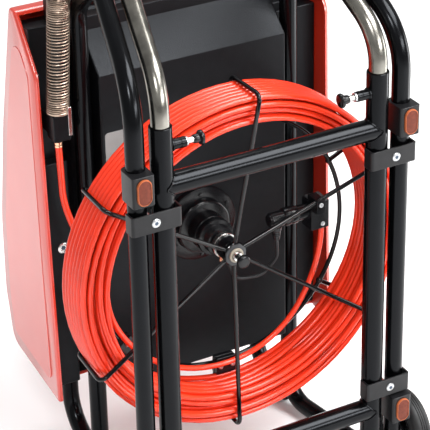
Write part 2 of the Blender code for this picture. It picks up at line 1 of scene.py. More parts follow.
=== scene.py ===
"""Looks for the push-cable inspection cart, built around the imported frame.

Sizes are in millimetres in the CAD file's own frame: x to the right, y to the back with the
front tubes on y = 0, z up from the floor. P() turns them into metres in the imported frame.
"""

import math

import bmesh
import bpy
import numpy as np
from mathutils import Matrix, Vector


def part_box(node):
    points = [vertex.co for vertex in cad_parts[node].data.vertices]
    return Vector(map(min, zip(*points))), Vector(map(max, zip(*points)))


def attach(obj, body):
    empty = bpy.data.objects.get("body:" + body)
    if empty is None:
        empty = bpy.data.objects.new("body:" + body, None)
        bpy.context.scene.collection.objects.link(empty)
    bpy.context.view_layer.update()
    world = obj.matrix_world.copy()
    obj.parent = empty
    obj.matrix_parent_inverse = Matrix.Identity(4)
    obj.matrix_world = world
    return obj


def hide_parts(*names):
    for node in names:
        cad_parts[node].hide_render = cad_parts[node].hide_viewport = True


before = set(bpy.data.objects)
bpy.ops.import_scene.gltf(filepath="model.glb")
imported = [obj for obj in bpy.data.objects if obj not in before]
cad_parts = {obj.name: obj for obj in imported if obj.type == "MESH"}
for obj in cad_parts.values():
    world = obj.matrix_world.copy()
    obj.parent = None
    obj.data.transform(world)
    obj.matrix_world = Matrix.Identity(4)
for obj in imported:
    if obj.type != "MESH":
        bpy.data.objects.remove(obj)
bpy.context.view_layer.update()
SCENE = bpy.context.scene

# ---- sizes shared with the CAD, mm ----
GAP = 0.3
SIDES = (("left", -1), ("right", 1))
# the label's front face gives the shift from the file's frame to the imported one
LABEL_FRONT_Y = 208.3
Y_MID = LABEL_FRONT_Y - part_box("case_label")[0].y * 1000

# tubes of the frame; TUBE_Z is the height of their lowest runs
TUBE_R, BORE_R, RECEIVER_R = 12.5, 13.0, 15.0
RECEIVER_X, RECEIVER_FOOT_Z, RECEIVER_TOP_Z = 157.7, 40.0, 649.7
LOOP_FRONT_X, LOOP_REAR_X, LOOP_REAR_Y, TUBE_Z = 193.8, 158.4, 229.8, 16.0
SKID_Y, SKID_TOP_Z = 330.0, 152.0
# heights, upper and lower
BARS_Z, CLAMPS_Z, PADS_Z = (567.0, 128.0), (528.2, 166.7), (578.0, 127.0)
STRAP_THICK, STRAP_HALF, SCREW_HEAD_Y = 3.0, 13.5, -20.4
PLUNGER_Z, PIN_R, PIN_HOLE_R, DETENT_PITCH, DETENTS = 620.0, 4.0, 4.6, 90, 3
HANDLE_FOOT_Z, HANDLE_BEND_Z, HANDLE_CORNER_X, GRIP_Y, GRIP_Z = 290.0, 699.0, 128.5, 170.0, 818.0
WHEEL_R, WHEEL_Y, WHEEL_X, AXLE_R = 56.0, 27.0, (219.0, 250.0), 6.0

# shell, case and probe; MOUNT_BACK_Y is the face that the case's mounts and clips end on
CASE_FRONT_Y, CASE_X, BOX_X, SHELL_WALL, MOUNT_BACK_Y = 209.4, 224.0, 141.9, 6.0, 256.7
WING_TOP_Z = 695.0
SPRING_FOOT, SPRING_HEAD, SPRING_R = Vector((-199, 217, 588)), Vector((-187.2, 217, 772)), 15.5

# reel; angles are degrees about its axis, seen from the front
HUB = (0.0, 107.0, 372.0)
HUB_AXIS = (0, 0, HUB[2])
SHAFT_R, HUB_BORE_R, FLANGE_BACK_Y = 7.0, 7.3, 209.1
CAGE_R, CAGE_BACK_R, CAGE_FRONT_Y, CAGE_BACK_Y, HOOP_R = 251.5, 248.4, 62.7, 140.4, 190.0
WIRE_R, WIRES, WIRE_ANGLE = 3.2, 6, 85.7
CABLE_R, LEAD_IN_R, SIGNAL_R = 4.0, 4.6, 2.4
COIL_IN, COIL_OUT, COIL_BACK_Y, THIN_ANGLE = 196.0, 243.5, 136.8, 25
# cable clamps: name, angle and the radius of their inner end
JAWS = (("a", 216, 178), ("b", 268, 174))
# where the tail meets the windings: angle, and radius with y
TAIL_ANGLE, TAIL_END = -178, (COIL_IN - CABLE_R - 0.6, 108.0)


def P(point):
    """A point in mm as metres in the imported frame."""
    return Vector((point[0], point[1] - Y_MID, point[2])) * 0.001


# ---- materials ----
def tune(shader, **values):
    """Sets sockets by name, with _ for each space."""
    for key, value in values.items():
        socket = shader.inputs[key.replace("_", " ")]
        socket.default_value = (*value, 1.0) if isinstance(value, tuple) else value


def material(
    name, colour, rough, shade=0.12, mottle=60.0, grain=900.0, bump=0.05, rough_span=0.08, depth=0.0004,
    **more,
):
    """Principled shader with a colour that drifts a little, uneven gloss and a fine raised grain."""
    made = bpy.data.materials.new(name)
    made.use_nodes = True
    nodes, links = made.node_tree.nodes, made.node_tree.links
    shader = nodes["Principled BSDF"]
    tune(shader, **more)
    where = nodes.new("ShaderNodeTexCoord").outputs["Object"]

    def noise(scale, detail=3.0):
        node = nodes.new("ShaderNodeTexNoise")
        node.inputs["Scale"].default_value = scale
        node.inputs["Detail"].default_value = detail
        links.new(where, node.inputs["Vector"])
        return node.outputs["Fac"]

    ramp = nodes.new("ShaderNodeValToRGB")
    low, high = ramp.color_ramp.elements
    low.position, high.position = 0.3, 0.7
    low.color = (*(c * (1 - shade) for c in colour), 1)
    high.color = (*(min(1.0, c * (1 + shade)) for c in colour), 1)
    links.new(noise(mottle), ramp.inputs["Fac"])
    links.new(ramp.outputs["Color"], shader.inputs["Base Color"])
    span = nodes.new("ShaderNodeMapRange")
    span.inputs["To Min"].default_value = rough - rough_span
    span.inputs["To Max"].default_value = rough + rough_span
    # the gloss drifts on a finer scale than the colour
    links.new(noise(mottle * 2.7), span.inputs["Value"])
    links.new(span.outputs["Result"], shader.inputs["Roughness"])
    raise_ = nodes.new("ShaderNodeBump")
    raise_.inputs["Strength"].default_value = bump
    raise_.inputs["Distance"].default_value = depth
    links.new(noise(grain, 2.0), raise_.inputs["Height"])
    links.new(raise_.outputs["Normal"], shader.inputs["Normal"])
    return made


# name, colour, roughness, then colour drift and its scale, grain scale and strength, roughness drift
COAT = material(
    "powder_coat", (0.0015, 0.0015, 0.0018), 0.19, 0.25, 40, 1200, 0.04, 0.04, Specular_IOR_Level=0.15,
    Specular_Tint=(0.88, 0.93, 1.0),
)
PLATE = material(
    "plate_coat", (0.008, 0.008, 0.009), 0.34, 0.25, 60, 800, 0.15, 0.06, Specular_IOR_Level=0.25,
)
WIRE = material(
    "wire_gloss", (0.002, 0.002, 0.0025), 0.1, 0.2, 60, 500, 0.02, 0.03, Specular_IOR_Level=0.35,
)
# painted reflection: the chrome's strong, coarse colour drift stands in for the dark and light surroundings
# that it mirrors
CHROME = material("chrome", (0.23, 0.22, 0.195), 0.24, 0.42, 30, 300, 0.05, 0.08, Metallic=1.0)
SHELL = material(
    "shell_red", (0.66, 0.030, 0.009), 0.30, 0.05, 8.3, 430, 0.03, 0.04, Specular_IOR_Level=0.8,
    Coat_Weight=1.0, Coat_Roughness=0.16,
)
CASE = material(
    "case_plastic", (0.0028, 0.0028, 0.0033), 0.36, 0.3, 90, 1100, 0.5, 0.06, 0.0006,
    Specular_IOR_Level=0.17, Specular_Tint=(0.88, 0.93, 1.0),
)
LABEL = material("label_pale", (0.21, 0.20, 0.195), 0.4, 0.06, 40, 600, 0.03, 0.05)
ZINC = material("zinc", (0.46, 0.47, 0.48), 0.3, 0.12, 400, 1500, 0.06, 0.08, Metallic=1.0)
# painted shade: dark colour for the hexagons that stand in for the screws' recessed sockets
SOCKET_SHADE = material("socket_painted_shade", (0.02, 0.04, 0.07), 0.35, 0.2, 300, 900, 0.05, 0.05)
RUBBER = material("rubber", (0.010, 0.010, 0.0105), 0.5, 0.25, 80, 1200, 0.4, 0.1, Specular_IOR_Level=0.3)
KNOB = material(
    "knob_black", (0.004, 0.004, 0.005), 0.22, 0.25, 90, 800, 0.08, 0.06, Specular_IOR_Level=0.3,
)
GREY = material(
    "grey_plastic", (0.045, 0.047, 0.05), 0.42, 0.2, 90, 900, 0.15, 0.06, Specular_IOR_Level=0.3,
)
PAD = material("pad_brown", (0.11, 0.024, 0.013), 0.55, 0.18, 300, 1300, 0.4, 0.06, Specular_IOR_Level=0.2)
PAD_RIM = material(
    "pad_rim", (0.32, 0.078, 0.025), 0.45, 0.12, 300, 1200, 0.2, 0.06, Specular_IOR_Level=0.2,
)
CABLE = material(
    "cable_sheath", (0.76, 0.036, 0.010), 0.2, 0.10, 26, 1400, 0.05, 0.04, Specular_IOR_Level=0.45,
)
SPRING = material("spring_wire", (0.46, 0.35, 0.275), 0.4, 0.12, 120, 1500, 0.04, 0.06, Metallic=1.0)
STEEL = material("steel", (0.62, 0.61, 0.59), 0.24, 0.1, 200, 1500, 0.05, 0.08, Metallic=1.0)
COPPER = material("copper", (0.86, 0.52, 0.34), 0.22, 0.12, 200, 1500, 0.05, 0.06, Metallic=1.0)
CREAM = material("bushing_cream", (0.30, 0.265, 0.21), 0.35, 0.08, 200, 900, 0.05, 0.06)
GLASS = material("lens_dark", (0.01, 0.012, 0.016), 0.05, 0.2, 60, 300, 0.0, 0.02, Coat_Weight=1.0)
LEAD = material(
    "lead_grey", (0.012, 0.012, 0.013), 0.36, 0.2, 90, 1200, 0.15, 0.08, Specular_IOR_Level=0.25,
)


# ---- shapes ----
class Form:
    """Collects closed shapes in mm and makes one object of them."""

    def __init__(self):
        self.points, self.faces, self.slots = [], [], []

    def add(self, points, faces, slot=0):
        first = len(self.points)
        self.points += [Vector(p) for p in points]
        self.faces += [tuple(first + k for k in face) for face in faces]
        self.slots += [slot] * len(faces)
        return self

    def tube(self, path, radius, sides=16, closed=False, slot=0):
        """Round tube along the path; radius may be one number or one for each point."""
        path = [Vector(p) for p in path]
        count = len(path)
        radii = radius if hasattr(radius, "__len__") else [radius] * count
        tangents = []
        for i in range(count):
            ahead = path[(i + 1) % count] if closed else path[min(i + 1, count - 1)]
            behind = path[i - 1] if closed else path[max(i - 1, 0)]
            tangents.append((ahead - behind).normalized())
        side = tangents[0].orthogonal().normalized()
        first, points = side.copy(), []
        turns = [2 * math.pi * k / sides for k in range(sides)]
        ring = [(math.cos(a), math.sin(a)) for a in turns]
        for i in range(count):
            if i:
                side = tangents[i - 1].rotation_difference(tangents[i]) @ side
            side = (side - tangents[i] * side.dot(tangents[i])).normalized()
            up = tangents[i].cross(side)
            points += [path[i] + (side * c + up * s) * radii[i] for c, s in ring]
        shift = 0
        if closed:
            side = tangents[-1].rotation_difference(tangents[0]) @ side
            # the last ring joins the first with the whole steps that it has turned by
            angle = math.atan2(side.dot(tangents[0].cross(first)), side.dot(first))
            shift = round(angle / (2 * math.pi / sides))
        faces = []
        for i in range(count if closed else count - 1):
            a, b = i * sides, (i + 1) % count * sides
            turn = shift if closed and i == count - 1 else 0
            for k in range(sides):
                n = (k + 1) % sides
                faces.append((a + k, a + n, b + (n + turn) % sides, b + (k + turn) % sides))
        if not closed:
            faces += [tuple(range(sides))[::-1], tuple(range((count - 1) * sides, count * sides))]
        return self.add(points, faces, slot)

    def lathe(self, profile, at, aim=(0, 1, 0), steps=40, slot=0):
        """Closed profile of (radius, distance along aim), turned about aim through at."""
        turn = Vector((0, 0, 1)).rotation_difference(Vector(aim)).to_matrix()
        at, points, rings = Vector(at), [], []
        for radius, along in profile:
            some = 1 if radius == 0 else steps
            rings.append((len(points), some))
            for k in range(some):
                a = 2 * math.pi * k / steps
                points.append(at + turn @ Vector((radius * math.cos(a), radius * math.sin(a), along)))
        faces = []
        for i, (a, some) in enumerate(rings):
            b, other = rings[(i + 1) % len(rings)]
            for k in range(steps):
                n = (k + 1) % steps
                if some == 1 and other == 1:
                    break
                if some == 1:
                    faces.append((a, b + n, b + k))
                elif other == 1:
                    faces.append((a + k, a + n, b))
                else:
                    faces.append((a + k, a + n, b + n, b + k))
        return self.add(points, faces, slot)

    def prism(self, outline, axis, start, end, slot=0):
        """Outline in the two other axes, in x, y, z order, drawn out along the axis."""
        index, count, points = "XYZ".index(axis), len(outline), []
        for along in (start, end):
            for a, b in outline:
                at = [a, b]
                at.insert(index, along)
                points.append(at)
        faces = [tuple(range(count)), tuple(range(count, 2 * count))[::-1]]
        faces += [(k, (k + 1) % count, count + (k + 1) % count, count + k) for k in range(count)]
        return self.add(points, faces, slot)

    def box(self, low, high, slot=0):
        (x0, y0, z0), (x1, y1, z1) = low, high
        return self.prism([(x0, y0), (x1, y0), (x1, y1), (x0, y1)], "Z", z0, z1, slot)

    def make(self, name, looks, body, replaces=(), bevel=0.0, segments=3, sharp=35, matrix=None):
        """One object of all the shapes, which rides on the body unless that is None."""
        bm = bmesh.new()
        verts = [bm.verts.new(P(matrix @ p if matrix else p)) for p in self.points]
        for face, slot in zip(self.faces, self.slots):
            made = bm.faces.new([verts[k] for k in face])
            made.material_index = slot
            made.smooth = True
        bmesh.ops.recalc_face_normals(bm, faces=bm.faces)
        mesh = bpy.data.meshes.new(name)
        bm.to_mesh(mesh)
        bm.free()
        mesh.set_sharp_from_angle(angle=math.radians(sharp))
        for look in looks if isinstance(looks, (list, tuple)) else [looks]:
            mesh.materials.append(look)
        obj = bpy.data.objects.new(name, mesh)
        SCENE.collection.objects.link(obj)
        if bevel:
            round_off(obj, bevel, segments)
        if body:
            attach(obj, body)
            if replaces:
                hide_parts(*replaces)
        return obj


def adopt(obj, body, *replaces):
    """Body and replaced CAD nodes for a piece whose mesh is already cut."""
    obj.data.set_sharp_from_angle(angle=math.radians(30))
    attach(obj, body)
    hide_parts(*replaces)


def round_off(obj, width, segments=3, angle=35):
    """Bevel in mm on the edges sharper than the angle."""
    bevel = obj.modifiers.new("bevel", "BEVEL")
    bevel.width = width * 0.001
    bevel.segments = segments
    bevel.limit_method = "ANGLE"
    bevel.angle_limit = math.radians(angle)
    bevel.harden_normals = True
    return obj


def cut(obj, other, operation="DIFFERENCE"):
    """Boolean applied on the spot, so that a later bevel rounds the new edges too."""
    modifier = obj.modifiers.new("cut", "BOOLEAN")
    modifier.operation, modifier.solver, modifier.object = operation, "EXACT", other
    bake(obj)
    bpy.data.objects.remove(other)
    return obj


def bake(obj):
    """Puts the result of the modifiers into the mesh."""
    graph = bpy.context.evaluated_depsgraph_get()
    mesh = bpy.data.meshes.new_from_object(obj.evaluated_get(graph))
    obj.modifiers.clear()
    obj.data = mesh
    return obj


def rounded(points, radii, steps=10, closed=False):
    """Corner points with fillet radii, as points along the rounded path."""
    count, out = len(points), []
    for i, point in enumerate(points):
        here = Vector(point)
        if (not closed and i in (0, count - 1)) or radii[i] == 0:
            out.append(here)
            continue
        before = (Vector(points[i - 1]) - here).normalized()
        after = (Vector(points[(i + 1) % count]) - here).normalized()
        half = before.angle(after) / 2
        centre = here + (before + after).normalized() * (radii[i] / math.sin(half))
        reach = radii[i] / math.tan(half)
        a, b = here + before * reach - centre, here + after * reach - centre
        turn = a.angle(b)
        for k in range(steps + 1):
            t = k / steps
            out.append(centre + (a * math.sin((1 - t) * turn) + b * math.sin(t * turn)) / math.sin(turn))
    return out


def flat(outline, radii, steps=6):
    """Closed flat outline with fillets at its corners."""
    return [(p.x, p.y) for p in rounded([(*q, 0) for q in outline], radii, steps, closed=True)]


def spaced(path, step):
    """The path with points added on its long straight runs."""
    out = [Vector(path[0])]
    for a, b in zip(path, path[1:]):
        pieces = max(1, round((Vector(b) - Vector(a)).length / step))
        out += [Vector(a).lerp(Vector(b), k / pieces) for k in range(1, pieces + 1)]
    return out


def smooth_path(points, each=8):
    """Points along a Catmull-Rom curve through the given ones."""
    pts = [Vector(p) for p in points]
    pts = [pts[0] * 2 - pts[1], *pts, pts[-1] * 2 - pts[-2]]
    out = []
    for i in range(1, len(pts) - 2):
        a, b, c, d = pts[i - 1 : i + 3]
        for k in range(each):
            t = k / each
            square = (2 * a - 5 * b + 4 * c - d) * t * t
            cube = (3 * b - a - 3 * c + d) * t * t * t
            out.append(0.5 * (2 * b + (c - a) * t + square + cube))
    return [*out, pts[-2]]


def reel_point(angle, radius, y):
    """Point at an angle in degrees and a radius about the reel's axis."""
    a = math.radians(angle)
    return Vector((radius * math.cos(a), y, HUB[2] + radius * math.sin(a)))


# ---- camera, lights, floor ----
def build_stage():
    """Camera, pale floor, white world and soft area lights, in metres."""
    camera = bpy.data.objects.new("camera", bpy.data.cameras.new("camera"))
    SCENE.collection.objects.link(camera)
    right, up = Vector((0.8681, -0.4963, -0.0082)).normalized(), Vector((0.2356, 0.3974, 0.8869))
    back = right.cross(up).normalized()
    up = back.cross(right)
    turn = Matrix((right, up, back)).transposed().to_4x4()
    camera.matrix_world = Matrix.Translation((-1.1153, -2.1207, 1.7076)) @ turn
    camera.data.sensor_width, camera.data.lens = 36.0, 165.1
    camera.data.shift_x, camera.data.shift_y = -0.1064, -0.0967
    SCENE.camera = camera

    bpy.ops.mesh.primitive_plane_add(size=14, location=(0, 0, -0.0004))
    floor = bpy.context.object
    floor.name = "floor"
    floor.data.materials.append(material("floor_pale", (0.9, 0.9, 0.9), 0.6, 0.01, 2, 50, 0.0, 0.02))

    world = bpy.data.worlds.new("studio")
    SCENE.world = world
    world.use_nodes = True
    world.node_tree.nodes["Background"].inputs["Color"].default_value = (1, 1, 1, 1)
    world.node_tree.nodes["Background"].inputs["Strength"].default_value = 0.48
    for name, place, target, size, power in (
        ("key", (-1.3, -2.4, 2.7), (0, 0, 0.45), (0.55, 0.55), 46),
        ("slope", (1.3, -1.4, 2.8), (0, 0, 0.5), (1.9, 1.5), 150),
        ("edge", (1.3, -2.7, 1.35), (0, 0, 0.5), (1.6, 0.55), 48),
        ("rim_right", (1.35, -0.35, 0.4), (0, 0, 0.45), (0.4, 0.75), 7),
        ("rim_left", (-1.0, 1.15, 0.4), (-0.1, 0, 0.45), (0.4, 0.75), 1.2),
        ("top", (0.2, 0.9, 3.0), (0, 0, 0.4), (1.8, 1.0), 44),
    ):
        light = bpy.data.lights.new(name, "AREA")
        light.shape, light.size, light.size_y, light.energy = "RECTANGLE", *size, power
        lamp = bpy.data.objects.new(name, light)
        SCENE.collection.objects.link(lamp)
        lamp.location, lamp.visible_camera = place, False
        lamp.rotation_euler = (Vector(place) - Vector(target)).to_track_quat("Z", "Y").to_euler()
    SCENE.view_settings.view_transform = "Standard"


# ---- frame ----
def loop_path(sign):
    """Side loop: up at the front, over the top, down at the rear and back along the floor."""
    corners = [
        (sign * LOOP_FRONT_X, 0, TUBE_Z),
        (sign * LOOP_FRONT_X, 0, 697),
        (sign * 163.8, 147, 789),
        (sign * LOOP_REAR_X, LOOP_REAR_Y, 727),
        (sign * LOOP_REAR_X, LOOP_REAR_Y, TUBE_Z),
    ]
    return rounded(corners, [40, 100, 50, 60, 40], 12, closed=True)


def polygon(x, z, radius, corners, shift=0.0):
    """Corners of a regular polygon in x and z, turned by a share of one side."""
    angles = [2 * math.pi * (k + shift) / corners for k in range(corners)]
    return [(x + radius * math.cos(a), z + radius * math.sin(a)) for a in angles]


def saddle_curve(sign, z, radius, reach, steps=64):
    """Where a crossbar of that radius meets a receiver of radius reach, as a closed line."""
    out = []
    for k in range(steps):
        a = 2 * math.pi * k / steps
        y = radius * math.cos(a)
        out.append((sign * (RECEIVER_X - math.sqrt(max(reach**2 - y**2, 0))), y, z + radius * math.sin(a)))
    return out


def build_receiver(side, sign):
    foot, top = RECEIVER_FOOT_Z, RECEIVER_TOP_Z
    lip = [(BORE_R, foot), (BORE_R + 0.4, foot), (RECEIVER_R, foot), (RECEIVER_R, top - 1.5)]
    lip += [(14.85, top - 0.5), (14.4, top), (13.6, top), (BORE_R + 0.1, top - 0.5), (BORE_R, top - 1.3)]
    tube = Form().lathe(lip, (sign * RECEIVER_X, 0, 0), (0, 0, 1), 48)
    tube = tube.make(f"receiver_tube_{side}", COAT, None)
    # hole for the plunger's pin
    near, far = RECEIVER_X - 20, RECEIVER_X - 8
    profile = [(0, near), (PIN_HOLE_R, near), (PIN_HOLE_R, far), (0, far)]
    hole = Form().lathe(profile, (0, 0, PLUNGER_Z), (sign, 0, 0), 24)
    cut(tube, hole.make("receiver_cutter", COAT, None))
    adopt(tube, "frame", f"receiver_{side}")


def build_frame():
    bead_steps, bar_steps, lump, foot_y = 120, 64, 5, 244
    for side, sign in SIDES:
        form = Form().tube(loop_path(sign), TUBE_R, 28, closed=True)
        # block that carries the axle
        form.box((sign * 190 - 10, WHEEL_Y - 12, 24), (sign * 190 + 10, WHEEL_Y + 12, 66))
        form.make(f"loop_tube_{side}", COAT, "frame", [f"side_loop_{side}"])

        build_receiver(side, sign)
        form = Form()
        for z in BARS_Z:
            # a row of small lumps along each weld
            line = saddle_curve(sign, z, RECEIVER_R + 0.5, RECEIVER_R + 0.4, bead_steps)
            thick = [1.25 + 0.12 * math.sin(k * 2 * math.pi / lump) for k in range(bead_steps)]
            form.tube(line, thick, 8, closed=True)
        form.make(f"weld_bead_{side}", COAT, "frame")

        x = sign * LOOP_REAR_X
        corners = [(x, SKID_Y, SKID_TOP_Z), (x, SKID_Y, TUBE_Z), (x, LOOP_REAR_Y + 6, TUBE_Z)]
        skid = Form().tube(rounded(corners, [0, 60, 0], 14), TUBE_R - 0.05, 28)
        skid.make(f"skid_tube_{side}", COAT, "frame", [f"rear_skid_{side}"])
        foot = Form().box((x - 14, foot_y, 0), (x + 14, foot_y + 40, 12))
        for k in range(4):
            rib_y = foot_y + 4 + 9 * k
            foot.box((x - 14.6, rib_y, 1), (x + 14.6, rib_y + 4, 9))
        foot.make(f"foot_block_{side}", RUBBER, "frame", [f"rear_foot_{side}"], bevel=0.8, segments=2)
        mount = Form().box((x - 9, LOOP_REAR_Y + 8, 230), (x + 9, MOUNT_BACK_Y, 590))
        mount.make(f"mount_rail_{side}", PLATE, "frame", [f"case_mount_{side}"], bevel=1.2)

    for level, z in zip(("upper", "lower"), BARS_Z):
        n = bar_steps
        ends = [saddle_curve(sign, z, RECEIVER_R, RECEIVER_R, n) for sign in (-1, 1)]
        faces = [(k, (k + 1) % n, n + (k + 1) % n, n + k) for k in range(n)]
        faces += [tuple(range(n))[::-1], tuple(range(n, 2 * n))]
        Form().add(ends[0] + ends[1], faces).make(f"bar_tube_{level}", COAT, "frame", [f"crossbar_{level}"])


def stadium(x, z, radius, steps):
    """Upright slot shape: two half circles above and below the middle."""
    rows, half = [], 8
    for k in range(steps):
        t = 2 * math.pi * (k + 0.5) / steps
        up = half if math.sin(t) > 0 else -half
        rows.append((x + radius * math.cos(t), z + up + radius * math.sin(t)))
    return rows


def build_pad_oval(side, sign, level, z):
    """Brown oval in a raised rim, as rings from the rim's back to the middle of the oval."""
    n, oval, rim = 40, 0, 1
    # growth of the radius, y, and look of the band that ends there
    rings = [
        (0.0, -24.6, rim), (0.0, -26.6, rim), (-0.6, -27.5, rim), (-1.1, -27.8, rim),
        (-1.5, -27.5, rim), (-1.8, -27.0, oval), (-5.0, -27.4, oval), (-9.0, -27.6, oval),
    ]
    points = [(x, y, w) for grow, y, _ in rings for x, w in stadium(sign * 194.5, z, 10 + grow, n)]
    faces, looks = [], []
    for i, (_, _, look) in enumerate(rings[1:]):
        near, far = i * n, (i + 1) * n
        faces += [(near + k, near + (k + 1) % n, far + (k + 1) % n, far + k) for k in range(n)]
        looks += [look] * n
    faces += [tuple(range(n))[::-1], tuple(range((len(rings) - 1) * n, len(rings) * n))]
    face = Form().add(points, faces)
    face.slots = [*looks, rim, oval]
    face.make(f"pad_oval_{level}_{side}", [PAD, PAD_RIM], "frame", [f"pad_face_{level}_{side}"], sharp=60)


def build_clamps_and_pads():
    low, high = RECEIVER_X - RECEIVER_R - GAP, LOOP_FRONT_X + TUBE_R + GAP
    back, front = 1.0, -RECEIVER_R - GAP
    screw_x = (RECEIVER_X + RECEIVER_R + LOOP_FRONT_X - TUBE_R) / 2
    head = [
        (0, SCREW_HEAD_Y), (3.0, SCREW_HEAD_Y), (4.6, -20.2), (5.9, -19.6), (6.3, -18.7), (6.3, -18.4),
        (3, -18.4), (3, 15), (0, 15),
    ]
    washer = [(0, 15.3), (9, 15.3), (9, 17.2), (8.6, 17.6), (0, 17.6)]
    for side, sign in SIDES:
        for level, z in zip(("upper", "lower"), CLAMPS_Z):
            t = STRAP_THICK
            corners = [
                (low - t, back, 0), (low - t, front - t, 0), (high + t, front - t, 0),
                (high + t, back, 0),
            ]
            outer = rounded(corners, [0, 4.5, 4.5, 0], 5)
            corners = [(high, back, 0), (high, front, 0), (low, front, 0), (low, back, 0)]
            inner = rounded(corners, [0, 1.8, 1.8, 0], 3)
            strap = Form().prism(
                [(sign * p.x, p.y) for p in outer + inner], "Z", z - STRAP_HALF, z + STRAP_HALF,
            )
            strap.make(
                f"strap_{level}_{side}", PLATE, "frame", [f"strap_clamp_{level}_{side}"], bevel=0.7,
                segments=2,
            )
            x = sign * screw_x
            screw = Form().lathe(head, (x, 0, z), steps=32)
            # dark hexagon just proud of the head: painted shade standing in for its recessed socket
            screw.prism(polygon(x, z, 2.7, 6), "Y", SCREW_HEAD_Y, SCREW_HEAD_Y - 0.25, 1)
            screw.lathe(washer, (x, 0, z), steps=32)
            screw.prism(polygon(x, z, 6.2, 6), "Y", 17.6, 22)
            screw.make(
                f"clamp_bolt_{level}_{side}", [ZINC, SOCKET_SHADE], "frame", [f"clamp_screw_{level}_{side}"],
                bevel=0.25, segments=2,
            )
        for level, z in zip(("upper", "lower"), PADS_Z):
            a, b = sorted((sign * 179.0, sign * 209.6))
            outline = flat([(a, 14.5), (a, -24.5), (b, -24.5), (b, 14.5)], [9, 4, 4, 9])
            pad = Form().prism(outline, "Z", z - 21, z + 21)
            pad.make(f"pad_body_{level}_{side}", PLATE, "frame", [f"pad_block_{level}_{side}"], bevel=1.0)
            build_pad_oval(side, sign, level, z)


def build_plungers():
    """Profiles run outwards from the object's middle plane towards each receiver."""
    wall, sleeve_bore = RECEIVER_X - RECEIVER_R, PIN_R + 0.3
    sleeve = [
        (sleeve_bore, wall + 1.2), (8.6, wall + 1.2), (8.6, wall - 0.6), (7.3, wall - 1.6),
        (7.0, wall - 2), (7.0, 133), (6.4, 132.4), (6.4, 131.4), (7.0, 130.8), (7.0, 124.6), (6.5, 124),
        (sleeve_bore, 124),
    ]
    collar = [(sleeve_bore, 124), (6.2, 124), (6.2, 122), (5.8, 121.5), (sleeve_bore, 121.5)]
    rod = [(0, 144.4), (3.2, 144.4), (PIN_R, 143.4), (PIN_R, 112), (0, 112)]
    grip = [
        (0, 113.5), (4.8, 113.5), (5.6, 112.6), (6.0, 110), (6.0, 106.5), (7.2, 105.2), (9.2, 104.2),
        (9.8, 103), (9.8, 101.6), (9.2, 100.2), (7.4, 99.1), (4.5, 98.5), (0, 98.4),
    ]
    for side, sign in SIDES:
        aim, at = (sign, 0, 0), (0, 0, PLUNGER_Z)
        barrel = Form().lathe(sleeve, at, aim, 32).lathe(collar, at, aim, 32, slot=1)
        barrel.make(f"plunger_sleeve_{side}", [COAT, ZINC], "frame", [f"plunger_barrel_{side}"])
        pin = Form().lathe(rod, at, aim, 24, slot=1).lathe(grip, at, aim, 36)
        pin.make(f"plunger_pin_{side}", [KNOB, STEEL], f"plunger_{side}", [f"plunger_{side}"])


def build_handle():
    right = [
        (RECEIVER_X, 0, HANDLE_FOOT_Z), (RECEIVER_X, 0, HANDLE_BEND_Z),
        (HANDLE_CORNER_X, GRIP_Y, GRIP_Z),
    ]
    left = [(-x, y, z) for x, y, z in reversed(right)]
    bow = Form().tube(rounded(right + left, [0, 80, 45, 45, 80, 0], 14), TUBE_R, 32)
    bow = bow.make("handle_bow", CHROME, None)
    # holes that the plungers' pins lock into
    pockets, pocket = Form(), [(0, 0), (PIN_HOLE_R, 0), (PIN_HOLE_R, 10), (0, 10)]
    for _, sign in SIDES:
        for k in range(DETENTS):
            at = (sign * (RECEIVER_X - TUBE_R - 4), 0, PLUNGER_Z - DETENT_PITCH * k)
            pockets.lathe(pocket, at, (sign, 0, 0), 24)
    adopt(cut(bow, pockets.make("detent_cutter", SOCKET_SHADE, None)), "handle", "handle")

    # rubber sleeve with rings pressed into it
    bore, out, groove, ribs, pitch = TUBE_R + 0.05, 16.5, 15.4, 22, 5.1
    profile = [(bore, -62), (15.0, -62), (16.2, -61), (out, -59)]
    for k in range(ribs):
        x = -56 + pitch * k
        profile += [(out, x), (groove, x + 0.9), (groove, x + 2.4), (out, x + 3.3)]
    profile += [(out, 59), (16.2, 61), (15.0, 62), (bore, 62)]
    grip = Form().lathe(profile, (0, GRIP_Y, GRIP_Z), (1, 0, 0), 40)
    grip.make("handle_sleeve", RUBBER, "handle", ["handle_grip"])


